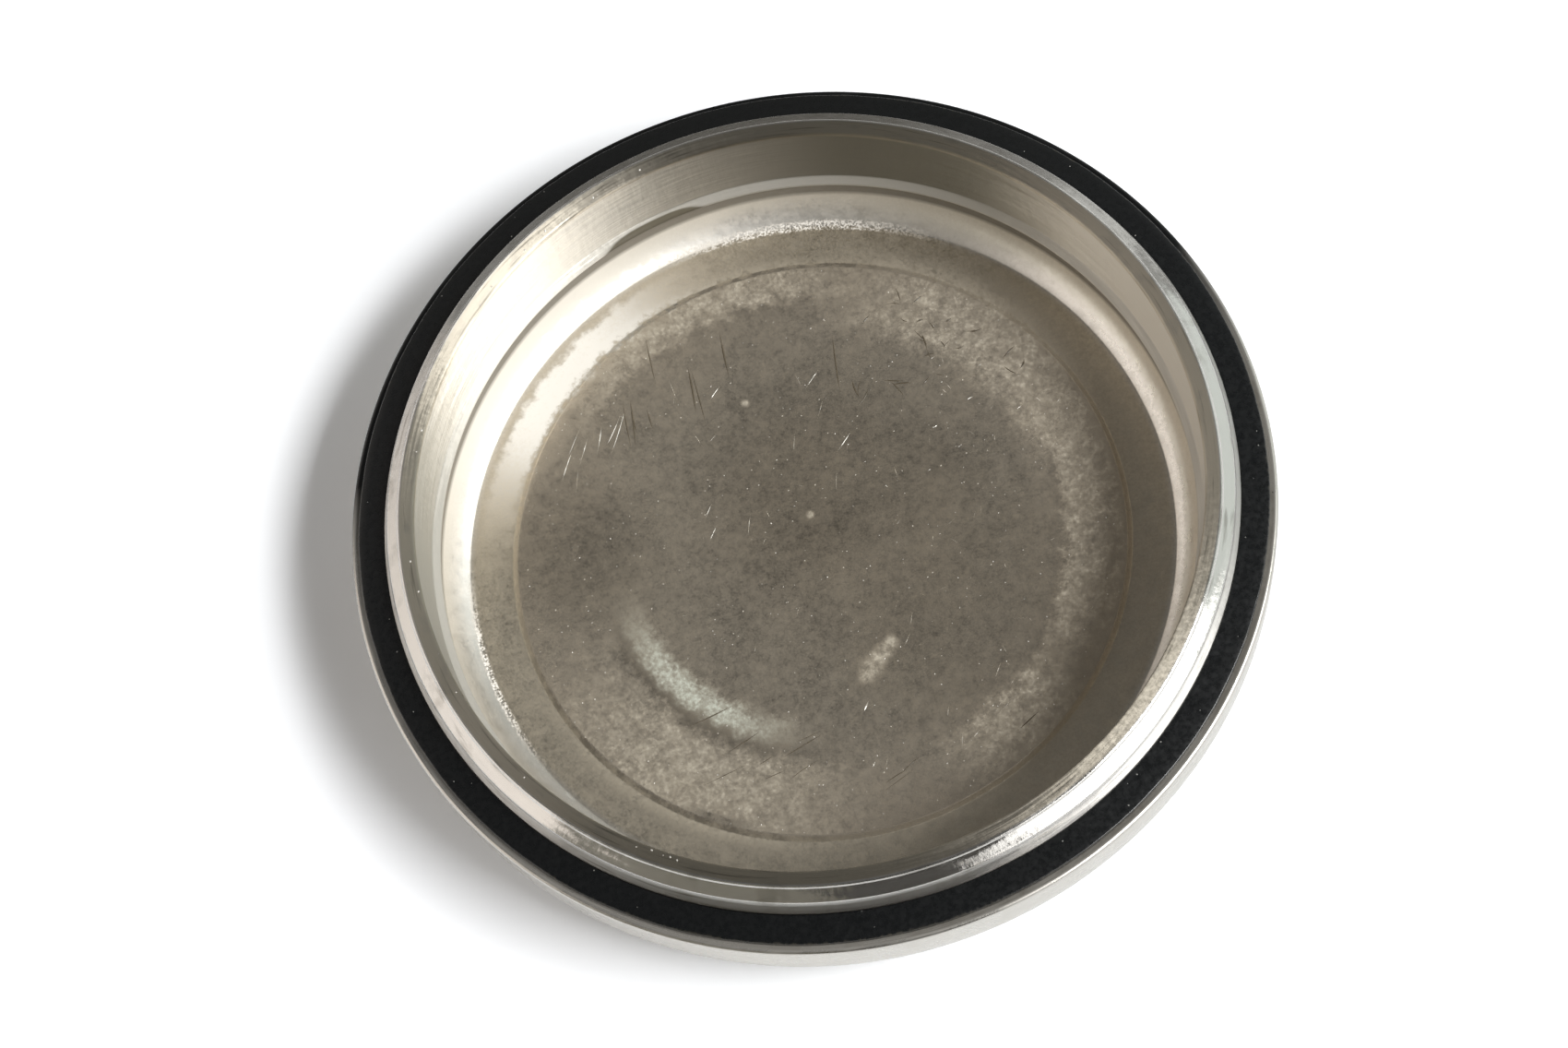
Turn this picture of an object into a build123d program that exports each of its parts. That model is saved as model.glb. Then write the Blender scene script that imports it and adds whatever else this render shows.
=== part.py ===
from build123d import *
import os

# Base half of a round shoe polish tin: four coaxial pieces, lengths in millimetres.
# The origin is the centre of the underside, on the table, and +Z points up out of the mouth.

# Pan, the outer shell
outer_diameter = 72.0
ledge_height = 9.95  # table to the top face of the ledge
pan_sheet = 0.6
corner_radius = 7.2  # rounded lower corner, outside
shoulder_radius = 0.3  # rounded upper edge, outside
panel_margin = 6.35  # edge of the raised centre panel, inwards from the mouth
panel_rise = 0.25
panel_slope = 0.4  # width of the slope round the panel

# Neck collar, a folded channel
collar_sheet = 0.5
neck_depth = 2.7  # whole channel, from the outside of the neck in to the mouth
neck_land = 0.75  # straight foot of the outer leg, hidden by the seal ring
ridge_inset = 0.42  # how far the outer leg leans in up to the ridge
ridge_height = 2.2  # above the ledge
ridge_radius = 0.3
lip_height = 3.05  # above the ledge, at the crown along the outer edge of the lip
lip_width = 1.2
lip_fall = 0.2  # the lip slopes down from its crown to the mouth
crown_radius = 0.35
mouth_edge_radius = 0.22
foot_projection = 0.55  # hemmed foot, inwards from the inner leg
foot_thickness = 0.3
foot_height = 0.85

# Bowl, the liner
bowl_sheet = 0.5
cove_inset = 0.25  # wall above the cove, inwards from the mouth
cove_width = 1.95
cove_height = 2.45
cove_belly = 0.69  # how far the cove's corner lies outside its chord
cove_radius = 3.6  # leaves a short straight run and a crease at the floor and at the wall
step_height = 4.95  # table to the step that carries the collar's foot

# Seal ring
ring_setback = 0.55  # outer edge of the ring, inwards from the pan's side
ring_width = 2.25
ring_edge_thickness = 0.45
ring_inner_thickness = 0.75

# Clearances
seam_clearance = 0.03  # bowl wall to the collar and to the ledge's bore
channel_clearance = 0.1  # bowl flange to the collar's outer leg
ring_clearance = 0.05  # seal ring to the neck

# Places that follow from the sizes above, from the pan's side inwards
outer_radius = outer_diameter / 2
ring_outer_radius = outer_radius - ring_setback
ring_bore_radius = ring_outer_radius - ring_width
neck_radius = ring_bore_radius - ring_clearance
mouth_radius = neck_radius - neck_depth
panel_radius = mouth_radius - panel_margin
foot_radius = mouth_radius - foot_projection
lip_outer_radius = mouth_radius + lip_width
leg_outer_radius = mouth_radius + collar_sheet
bowl_wall_radius = leg_outer_radius + seam_clearance
ledge_bore_radius = bowl_wall_radius + bowl_sheet + seam_clearance
flange_radius = neck_radius - collar_sheet - channel_clearance
cove_wall_radius = mouth_radius - cove_inset


def corner_arc(before, corner, after, radius):
    """Start, middle and end of the arc that rounds a corner of a path."""
    to_before = (before - corner).normalized()
    to_after = (after - corner).normalized()
    bisector = (to_before + to_after).normalized()
    cos_half = to_before.dot(bisector)
    sin_half = (1 - cos_half**2) ** 0.5
    start = corner + to_before * (radius * cos_half / sin_half)
    end = corner + to_after * (radius * cos_half / sin_half)
    middle = corner + bisector * (radius / sin_half - radius)
    return start, middle, end


def rounded_path(points, radii):
    """Edges through the points, with the inner corners rounded; a radius of 0 stays sharp."""
    edges = []
    here = points[0]
    for before, corner, after, radius in zip(points, points[1:], points[2:], radii):
        if radius > 0:
            start, middle, end = corner_arc(before, corner, after, radius)
            edges.append(Line(here, start))
            edges.append(ThreePointArc(start, middle, end))
            here = end
        else:
            edges.append(Line(here, corner))
            here = corner
    edges.append(Line(here, points[-1]))
    return edges


def left_of(start, end):
    """Unit vector to the left of a run, in the section plane."""
    run = (end - start).normalized()
    return Vector(-run.Y, run.X)


def offset_points(points, thickness):
    """The points of a path moved to its left by the sheet's thickness, with mitred corners."""
    moved = [points[0] + left_of(points[0], points[1]) * thickness]
    for before, corner, after in zip(points, points[1:], points[2:]):
        first = left_of(before, corner)
        second = left_of(corner, after)
        moved.append(corner + (first + second) * (thickness / (1 + first.dot(second))))
    moved.append(points[-1] + left_of(points[-2], points[-1]) * thickness)
    return moved


def offset_radii(points, radii, thickness):
    """Bend radii on the left of a sheet: smaller inside a left turn, larger outside a right one."""
    changed = []
    for before, corner, after, radius in zip(points, points[1:], points[2:], radii):
        turns_left = left_of(before, corner).dot(after - corner) > 0
        if radius == 0:
            changed.append(0)
        elif turns_left:
            changed.append(max(radius - thickness, 0))
        else:
            changed.append(radius + thickness)
    return changed


def sheet_section(points, radii, thickness):
    """Section of a bent sheet whose one face follows the points, with its metal on the left."""
    far_points = offset_points(points, thickness)
    far_radii = offset_radii(points, radii, thickness)
    caps = [Line(points[0], far_points[0]), Line(points[-1], far_points[-1])]
    return make_face(rounded_path(points, radii) + rounded_path(far_points, far_radii) + caps)


def closed_section(points):
    """Section with straight sides through the points."""
    return make_face(Polyline(*points, close=True))


def turn(section):
    """Solid of revolution of a section drawn with X as radius and Y as height."""
    return revolve(Plane.XZ * section, Axis.Z)


# Underside and outside of the pan, from the axis outwards and up to the bore of the ledge
pan_path = [
    Vector(0, panel_rise),
    Vector(panel_radius, panel_rise),
    Vector(panel_radius + panel_slope, 0),
    Vector(outer_radius, 0),
    Vector(outer_radius, ledge_height),
    Vector(ledge_bore_radius, ledge_height),
]
pan_radii = [0, 0, corner_radius, shoulder_radius]


def make_pan():
    return turn(sheet_section(pan_path, pan_radii, pan_sheet))


def make_bowl():
    # The face that shows, from the flange down the wall, over the step and cove to the axis.
    # The floor lies on the pan's own inner face, so the two raised panels nest.
    floor = offset_points(pan_path, pan_sheet + bowl_sheet)[2::-1]
    floor_height = floor[0].Y
    cove_foot = Vector(cove_wall_radius - cove_width, floor_height)
    cove_head = Vector(cove_wall_radius, floor_height + cove_height)
    cove_corner = (cove_head + cove_foot) / 2 + left_of(cove_head, cove_foot) * cove_belly
    rim = [
        Vector(flange_radius, ledge_height + bowl_sheet),
        Vector(bowl_wall_radius, ledge_height + bowl_sheet),
        Vector(bowl_wall_radius, step_height),
        Vector(cove_wall_radius, step_height),
        cove_head,
        cove_corner,
        cove_foot,
    ]
    radii = [0, 0, 0, 0, cove_radius, 0, 0, 0]
    return turn(sheet_section(rim + floor, radii, bowl_sheet))


def make_neck_collar():
    channel_path = [
        Vector(neck_radius, ledge_height),
        Vector(neck_radius, ledge_height + neck_land),
        Vector(neck_radius - ridge_inset, ledge_height + ridge_height),
        Vector(lip_outer_radius, ledge_height + lip_height),
        Vector(mouth_radius, ledge_height + lip_height - lip_fall),
        Vector(mouth_radius, step_height),
    ]
    channel_radii = [0, ridge_radius, crown_radius, mouth_edge_radius]
    channel = sheet_section(channel_path, channel_radii, collar_sheet)
    foot_path = [
        Vector(mouth_radius, step_height + foot_height),
        Vector(foot_radius, step_height + foot_thickness),
        Vector(foot_radius, step_height),
        Vector(mouth_radius, step_height),
    ]
    foot = closed_section(foot_path)
    return turn(channel + foot)


def make_seal_ring():
    path = [
        Vector(ring_bore_radius, ledge_height),
        Vector(ring_outer_radius, ledge_height),
        Vector(ring_outer_radius, ledge_height + ring_edge_thickness),
        Vector(ring_bore_radius, ledge_height + ring_inner_thickness),
    ]
    return turn(closed_section(path))


parts = {
    "pan": make_pan(),
    "bowl": make_bowl(),
    "neck_collar": make_neck_collar(),
    "seal_ring": make_seal_ring(),
}

os.makedirs("parts", exist_ok=True)
for name, solid in parts.items():
    export_step(solid, f"parts/{name}.step")
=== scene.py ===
import bpy
import bmesh
import math
import random
from functools import partial
from mathutils import Matrix, Vector


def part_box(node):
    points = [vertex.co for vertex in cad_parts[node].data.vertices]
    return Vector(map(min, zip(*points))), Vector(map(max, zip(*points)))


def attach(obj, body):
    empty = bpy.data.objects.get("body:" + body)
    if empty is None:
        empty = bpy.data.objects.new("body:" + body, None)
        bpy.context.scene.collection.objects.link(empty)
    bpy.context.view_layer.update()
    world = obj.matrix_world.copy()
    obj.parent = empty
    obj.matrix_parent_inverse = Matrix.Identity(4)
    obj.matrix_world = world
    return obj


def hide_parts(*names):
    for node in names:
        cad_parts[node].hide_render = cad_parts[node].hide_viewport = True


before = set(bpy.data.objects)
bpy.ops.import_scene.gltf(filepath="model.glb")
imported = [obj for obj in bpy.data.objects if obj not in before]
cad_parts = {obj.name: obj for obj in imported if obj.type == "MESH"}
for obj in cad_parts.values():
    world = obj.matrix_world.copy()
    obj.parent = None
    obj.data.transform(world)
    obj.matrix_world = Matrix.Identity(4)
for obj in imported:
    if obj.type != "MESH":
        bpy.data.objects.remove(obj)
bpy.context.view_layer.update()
mm = 0.001


def reach(node):
    # outer radius, underside and top of a turned node, in mm
    low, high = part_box(node)
    return high.x / mm, low.z / mm, high.z / mm


def linear(hexColour, alpha=1.0):
    # "#rrggbb" in sRGB to the linear values that nodes take
    values = [int(hexColour[i:i + 2], 16) / 255 for i in (1, 3, 5)]
    return [v / 12.92 if v <= 0.04045 else ((v + 0.055) / 1.055) ** 2.4 for v in values] + [alpha]


def addNode(tree, kind, inputs=None, output=0, stops=(), **settings):
    # kind is the node's type, where "ShaderNode" can be left out; settings are its own, inputs take values or other
    # nodes' sockets, and stops fill a colour ramp
    node = tree.nodes.new(kind if kind.startswith(("Geometry", "Function", "NodeGroup")) else "ShaderNode" + kind)
    for name, value in settings.items():
        setattr(node, name, value)
    for i, (place, colour) in enumerate(stops):
        ramp = node.color_ramp.elements
        stop = ramp[i] if i < 2 else ramp.new(place)
        stop.position = place
        stop.color = linear(colour) if isinstance(colour, str) else (colour, colour, colour, 1)
    for key, value in (inputs or {}).items():
        named = isinstance(key, str)
        socket = next(s for s in node.inputs if s.name == key and s.enabled) if named else node.inputs[key]
        if isinstance(value, bpy.types.NodeSocket):
            tree.links.new(value, socket)
        else:
            socket.default_value = value
    return node.outputs[output] if len(node.outputs) else None


# settings that many nodes share
blend = {"output": 2, "data_type": "RGBA"}
smooth = {"interpolation_type": "SMOOTHSTEP"}
times, timesPlus = {"operation": "MULTIPLY"}, {"operation": "MULTIPLY_ADD"}


def newTree(name, kind, inputs, outputs):
    # a node group with its sockets, what adds nodes to it, and the sockets through which its inputs come in
    tree = bpy.data.node_groups.new(name, kind)
    for way, sockets in (("INPUT", inputs), ("OUTPUT", outputs)):
        for label, form in sockets.items():
            tree.interface.new_socket(label, in_out=way, socket_type="NodeSocket" + form)
    add = partial(addNode, tree)
    return tree, add, add("NodeGroupInput").node.outputs


# Sections of turned parts, in mm with x outwards and y up

def cornerPoints(before, corner, after, radius, stepDegrees):
    toBefore = (before - corner).normalized()
    toAfter = (after - corner).normalized()
    bisector = (toBefore + toAfter).normalized()
    cosHalf = toBefore.dot(bisector)
    sinHalf = math.sqrt(1 - cosHalf ** 2)
    centre = corner + bisector * (radius / sinHalf)
    start = corner + toBefore * (radius * cosHalf / sinHalf) - centre
    end = corner + toAfter * (radius * cosHalf / sinHalf) - centre
    turn = math.atan2(start.x * end.y - start.y * end.x, start.dot(end))
    count = max(2, round(abs(math.degrees(turn)) / stepDegrees))
    points = []
    for i in range(count + 1):
        a = turn * i / count
        points.append(centre + Vector((start.x * math.cos(a) - start.y * math.sin(a),
                                       start.x * math.sin(a) + start.y * math.cos(a))))
    return points


def softLine(corners, radii, stepDegrees=7.5):
    # points along a line whose inner corners are rounded
    points = [corners[0]]
    for before, corner, after, radius in zip(corners, corners[1:], corners[2:], radii):
        points += cornerPoints(before, corner, after, radius, stepDegrees) if radius else [corner]
    return points + [corners[-1]]


def leftOf(start, end):
    run = (end - start).normalized()
    return Vector((-run.y, run.x))


def offsetLine(corners, thickness):
    moved = [corners[0] + leftOf(corners[0], corners[1]) * thickness]
    for before, corner, after in zip(corners, corners[1:], corners[2:]):
        first, second = leftOf(before, corner), leftOf(corner, after)
        moved.append(corner + (first + second) * (thickness / (1 + first.dot(second))))
    return moved + [corners[-1] + leftOf(corners[-2], corners[-1]) * thickness]


def offsetRadii(corners, radii, thickness, tightest=0.06):
    changed = []
    for before, corner, after, radius in zip(corners, corners[1:], corners[2:], radii):
        left = leftOf(before, corner).dot(after - corner) > 0
        changed.append(max(radius - thickness, tightest) if left else radius + thickness)
    return changed


def denser(points, longest):
    # long straight runs get points of their own, so that waves can bend them
    dense = [points[0]]
    for start, end in zip(points, points[1:]):
        count = max(1, math.ceil((end - start).length / longest))
        dense += [start.lerp(end, i / count) for i in range(1, count + 1)]
    return dense


def sheetSection(corners, radii, thickness, longest):
    # closed section of a bent sheet with its metal on the left of the corners
    near = softLine(corners, radii)
    far = softLine(offsetLine(corners, thickness), offsetRadii(corners, radii, thickness))
    return denser(near, longest) + denser(far, longest)[::-1]


def turnTree():
    # turns a section about Z; waves press the points marked "give" a little towards the axis
    tree, add, given = newTree(
        "turnSection", "GeometryNodeTree",
        {"Section": "Geometry", "Steps": "Int", "Wave Depth": "Float", "Waves": "Float", "Seed": "Float",
         "Material": "Material"}, {"Turned": "Geometry"})
    count = add("GeometryNodeAttributeDomainSize", {"Geometry": given["Section"]}, component="MESH")
    across = add("Math", {0: given["Steps"], 1: 1.0}, operation="ADD")
    grid = add("GeometryNodeMeshGrid", {"Vertices X": count, "Vertices Y": across})
    index = add("GeometryNodeInputIndex")
    midIndex = add("Math", {0: index, 1: 0.5}, operation="ADD")
    row = add("Math", {0: midIndex, 1: across}, operation="DIVIDE")
    along = add("Math", {0: row}, operation="FLOOR")
    skipped = add("Math", {0: along, 1: across}, **times)
    around = add("Math", {0: index, 1: skipped}, operation="SUBTRACT")
    share = add("Math", {0: around, 1: given["Steps"]}, operation="DIVIDE")
    angle = add("Math", {0: share, 1: math.tau}, **times)
    sectionPoint = {"Geometry": given["Section"], "Index": along}
    position = add("GeometryNodeInputPosition")
    place = add("GeometryNodeSampleIndex", {**sectionPoint, "Value": position}, data_type="FLOAT_VECTOR")
    giveMark = add("GeometryNodeInputNamedAttribute", {"Name": "give"}, data_type="FLOAT")
    give = add("GeometryNodeSampleIndex", {**sectionPoint, "Value": giveMark}, data_type="FLOAT")
    x, y, z = add("SeparateXYZ", {0: place}).node.outputs
    cosine = add("Math", {0: angle}, operation="COSINE")
    sine = add("Math", {0: angle}, operation="SINE")
    circle = add("CombineXYZ", {0: cosine, 1: sine})
    wave = add("TexNoise", {"Vector": circle, "W": given["Seed"], "Scale": given["Waves"], "Detail": 4.0,
               "Roughness": 0.55}, noise_dimensions="4D")
    press = add("Math", {0: given["Wave Depth"], 1: give}, **times)
    depth = add("Math", {0: press, 1: wave}, **times)
    radius = add("Math", {0: x, 1: depth}, operation="SUBTRACT")
    flat = add("VectorMath", {0: circle, "Scale": radius}, operation="SCALE")
    rise = add("CombineXYZ", {2: z})
    turned = add("VectorMath", {0: flat, 1: rise}, operation="ADD")
    moved = add("GeometryNodeSetPosition", {"Geometry": grid, "Position": turned})
    closed = add("GeometryNodeMergeByDistance", {"Geometry": moved, "Distance": 0.0005 * mm})
    real = add("GeometryNodeRealizeInstances", {"Geometry": closed})
    done = add("GeometryNodeSetMaterial", {"Geometry": real, "Material": given["Material"]})
    add("NodeGroupOutput", {"Turned": done})
    return tree


def scatterTree():
    # strews copies of a small shape over a surface, flat on it and turned any way
    tree, add, given = newTree(
        "strewBits", "GeometryNodeTree",
        {"Surface": "Geometry", "Shape": "Object", "Per Area": "Float", "Seed": "Int", "Smallest": "Float",
         "Largest": "Float", "Material": "Material"}, {"Bits": "Geometry"})
    strewn = add("GeometryNodeDistributePointsOnFaces", {"Mesh": given["Surface"], "Density": given["Per Area"],
                 "Seed": given["Seed"]}).node.outputs
    way = add("FunctionNodeRandomValue", {"Min": 0.0, "Max": math.tau, "Seed": given["Seed"]}, output=1,
              data_type="FLOAT")
    size = add("FunctionNodeRandomValue", {"Min": given["Smallest"], "Max": given["Largest"], "Seed": given["Seed"]},
               output=1, data_type="FLOAT")
    spin = add("FunctionNodeAxisAngleToRotation", {"Axis": (0, 0, 1), "Angle": way})
    lie = add("FunctionNodeRotateRotation", {"Rotation": strewn["Rotation"], "Rotate By": spin}, rotation_space="LOCAL")
    shape = add("GeometryNodeObjectInfo", {"Object": given["Shape"]}, output="Geometry")
    bits = add("GeometryNodeInstanceOnPoints", {"Points": strewn["Points"], "Instance": shape, "Rotation": lie,
               "Scale": size})
    real = add("GeometryNodeRealizeInstances", {"Geometry": bits})
    done = add("GeometryNodeSetMaterial", {"Geometry": real, "Material": given["Material"]})
    add("NodeGroupOutput", {"Bits": done})
    return tree


def newObject(name, data):
    piece = bpy.data.objects.new(name, data)
    bpy.context.scene.collection.objects.link(piece)
    return piece


def runTree(source, name, tree, values):
    # the tree's result as a plain mesh of its own, with the source object removed
    modifier = source.modifiers.new("tree", "NODES")
    modifier.node_group = tree
    for socket in tree.interface.items_tree:
        if socket.in_out == "INPUT" and socket.name in values:
            modifier[socket.identifier] = values[socket.name]
    evaluated = source.evaluated_get(bpy.context.evaluated_depsgraph_get())
    mesh = bpy.data.meshes.new_from_object(evaluated)
    bpy.data.objects.remove(source)
    mesh.name = name
    return newObject(name, mesh)


turning, strewing = turnTree(), scatterTree()
sharpFrom = math.radians(38)


def turnPiece(name, section, material, values, give=lambda radius, height: 0.0):
    mesh = bpy.data.meshes.new(name + "Section")
    points = section + [section[0]]
    mesh.from_pydata([(p.x * mm, 0, p.y * mm) for p in points], [(i, i + 1) for i in range(len(points) - 1)], [])
    mesh.attributes.new("give", "FLOAT", "POINT").data.foreach_set("value", [give(p.x, p.y) for p in points])
    piece = runTree(newObject(name + "Section", mesh), name, turning,
                    {"Steps": values["steps"], "Wave Depth": values["waveDepth"] * mm, "Waves": values["waves"],
                     "Seed": values["seed"], "Material": material})
    piece.data.shade_smooth()
    piece.data.set_sharp_from_angle(angle=sharpFrom)
    return piece


def turnedPatch(name, profile, start, end, steps=72):
    # open strip of a turned surface, for strewing bits on
    verts, faces = [], []
    for i in range(steps + 1):
        a = math.radians(start + (end - start) * i / steps)
        verts += [(r * math.cos(a) * mm, r * math.sin(a) * mm, z * mm) for r, z in profile]
    n = len(profile)
    for i in range(steps):
        faces += [(i * n + k, i * n + k + 1, i * n + n + k + 1, i * n + n + k) for k in range(n - 1)]
    mesh = bpy.data.meshes.new(name)
    mesh.from_pydata(verts, [], faces)
    return newObject(name, mesh)


# Shader groups: where a point lies on a turned part, lines that run round it, and patches on it

def turnedPlace():
    tree, add, given = newTree(
        "turnedPlace", "ShaderNodeTree", {},
        {"Radius": "Float", "Height": "Float", "Round": "Vector", "Place": "Vector"})
    local = add("TexCoord", output="Object")
    place = add("VectorMath", {0: local, "Scale": 1 / mm}, operation="SCALE")
    x, y, z = add("SeparateXYZ", {0: place}).node.outputs
    flat = add("CombineXYZ", {0: x, 1: y})
    radius = add("VectorMath", {0: flat}, output="Value", operation="LENGTH")
    way = add("VectorMath", {0: flat}, operation="NORMALIZE")
    add("NodeGroupOutput", {"Radius": radius, "Height": z, "Round": way, "Place": place})
    return tree


def turnedLines():
    # 0 to 1, in streaks that run round the part: Lines per mm across them, Length in mm along them
    tree, add, given = newTree(
        "turnedLines", "ShaderNodeTree",
        {"Radius": "Float", "Height": "Float", "Round": "Vector", "Lines": "Float", "Length": "Float"},
        {"Streak": "Float"})
    often = add("Math", {0: given["Radius"], 1: given["Length"]}, operation="DIVIDE")
    way = add("VectorMath", {0: given["Round"], "Scale": often}, operation="SCALE")
    profile = add("Math", {0: given["Radius"], 1: given["Height"]}, operation="ADD")
    across = add("Math", {0: profile, 1: given["Lines"]}, **times)
    streak = add("TexNoise", {"Vector": way, "W": across, "Scale": 1.0, "Detail": 3.0}, noise_dimensions="4D")
    add("NodeGroupOutput", {"Streak": streak})
    return tree


def arcPatch():
    # 1 inside a stretch of ring: Low to High in mm, Spread degrees either side of Azimuth
    tree, add, given = newTree(
        "arcPatch", "ShaderNodeTree",
        {"Radius": "Float", "Round": "Vector", "Low": "Float", "High": "Float", "Soft": "Float",
         "Azimuth": "Float", "Spread": "Float"}, {"Inside": "Float"})
    centre = add("Math", {0: given["Azimuth"]}, operation="RADIANS")
    towards = add("VectorRotate", {"Vector": (1, 0, 0), "Angle": centre}, rotation_type="Z_AXIS")
    cosine = add("VectorMath", {0: given["Round"], 1: towards}, output="Value", operation="DOT_PRODUCT")
    off = add("Math", {0: cosine}, operation="ARCCOSINE")
    offDegrees = add("Math", {0: off}, operation="DEGREES")
    core = add("Math", {0: given["Spread"], 1: 0.2}, **times)
    inArc = add("MapRange", {"Value": offDegrees, "From Min": given["Spread"], "From Max": core}, **smooth)
    lowEnd = add("Math", {0: given["Low"], 1: given["Soft"]}, operation="SUBTRACT")
    highEnd = add("Math", {0: given["High"], 1: given["Soft"]}, operation="ADD")
    inside = inArc
    for end, full in ((lowEnd, "Low"), (highEnd, "High")):
        edge = add("MapRange", {"Value": given["Radius"], "From Min": end, "From Max": given[full]}, **smooth)
        inside = add("Math", {0: inside, 1: edge}, **times)
    add("NodeGroupOutput", {"Inside": inside})
    return tree


placeGroup, linesGroup, patchGroup = turnedPlace(), turnedLines(), arcPatch()


def newMaterial(name):
    # what adds nodes to it, where a point lies in mm, and what patches and lines ask of that place
    material = bpy.data.materials.new(name)
    material.use_nodes = True
    material.node_tree.nodes.clear()
    add = partial(addNode, material.node_tree)
    spot = add("Group", node_tree=placeGroup).node.outputs
    onRing = {"Radius": spot["Radius"], "Round": spot["Round"]}
    return material, add, spot, onRing, {**onRing, "Height": spot["Height"]}


def plainMaterial(name, colour, metallic, roughness):
    material, add = newMaterial(name)[:2]
    shader = add("BsdfPrincipled", {"Base Color": linear(colour), "Metallic": metallic, "Roughness": roughness})
    add("OutputMaterial", {"Surface": shader})
    return material


# Pan, the outer shell

pan = {"sheet": 0.6, "corner": 7.2, "shoulder": 0.3, "panel": 24.1, "panelRise": 0.25, "panelSlope": 0.4, "bore": 31.51,
       "steps": 360, "waveDepth": 0.06, "waves": 1.6, "seed": 3.0,
       "tin": "#dad6ce", "bare": 0.2, "worn": 0.42,
       "wax": "#3f392e", "waxArc": {"Azimuth": 318, "Spread": 150}, "waxShare": 0.85,
       "smear": "#0a0b0b", "smearArc": {"Azimuth": 90, "Spread": 95}, "smearDown": 0.45}


def tinnedSteel():
    # tinplate, drawn and tumbled about in use: near-mirror tin under a haze of fine scuffs, with wax in the shoulder
    # and, over one side of it, black from the seal ring
    material, add, spot, onRing, onSkin = newMaterial("wornTinplate")
    scuff = add("TexNoise", {"Vector": spot["Place"], "Scale": 0.35, "Detail": 6.0, "Roughness": 0.65})
    streak = add("Group", {**onSkin, "Lines": 6.0, "Length": 6.0}, node_tree=linesGroup)
    outer, low, top = reach("pan")
    waxed = add("Group", {**onRing, "Low": outer - 3, "High": outer - 0.4, "Soft": 0.3, **pan["waxArc"]},
                node_tree=patchGroup)
    upTop = add("MapRange", {"Value": spot["Height"], "From Min": top - 0.3, "From Max": top - 0.15})
    onTop = add("Math", {0: waxed, 1: upTop}, **times)
    film = add("MapRange", {"Value": scuff, "From Min": 0.35, "From Max": 0.6, "To Min": 0.75})
    filmHere = add("Math", {0: film, 1: onTop}, **times)
    wax = add("Math", {0: filmHere, 1: pan["waxShare"]}, **times)
    outwards = add("Group", {**onRing, "Low": outer - 0.9, "High": outer + 1, "Soft": 0.1, **pan["smearArc"]},
                   node_tree=patchGroup)
    smearEnd = top - pan["smearDown"]
    overEdge = add("MapRange", {"Value": spot["Height"], "From Min": smearEnd, "From Max": smearEnd + 0.15,
                   "To Max": 4.0})
    smear = add("Math", {0: outwards, 1: overEdge}, use_clamp=True, **times)
    colour = linear(pan["tin"])
    for share, tone in ((wax, "wax"), (smear, "smear")):
        colour = add("Mix", {0: share, 6: colour, 7: linear(pan[tone])}, **blend)
    coated = add("Math", {0: wax, 1: smear}, operation="MAXIMUM")
    metal = add("Math", {0: 1.0, 1: coated}, operation="SUBTRACT")
    mixed = add("Math", {0: scuff, 1: streak}, **times)
    rough = add("MapRange", {"Value": mixed, "From Min": 0.12, "From Max": 0.42, "To Min": pan["bare"],
                "To Max": pan["worn"]})
    fine = add("Bump", {"Height": streak, "Distance": 0.002 * mm, "Strength": 1.0})
    dents = add("Bump", {"Height": scuff, "Distance": 0.03 * mm, "Strength": 1.0, "Normal": fine})
    shader = add("BsdfPrincipled", {"Base Color": colour, "Metallic": metal, "Roughness": rough, "Normal": dents})
    add("OutputMaterial", {"Surface": shader})
    return material


def makePan():
    radius, low, top = reach("pan")
    corners = [(0, pan["panelRise"]), (pan["panel"], pan["panelRise"]), (pan["panel"] + pan["panelSlope"], low),
               (radius, low), (radius, top), (pan["bore"], top)]
    section = sheetSection([Vector(c) for c in corners], [0.4, 0.4, pan["corner"], pan["shoulder"]], pan["sheet"], 2)
    return turnPiece("tinPan", section, tinnedSteel(), pan, lambda r, z: 1.0 if 1 < z < top - 1 and r > 30 else 0.0)


# Bowl, the pressed liner that held the wax. Its patches are stretches of ring: low and high radius, softness,
# azimuth and spread. Its spots are round: x, y and radius. Each list by radius runs from the middle to the wall.

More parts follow.
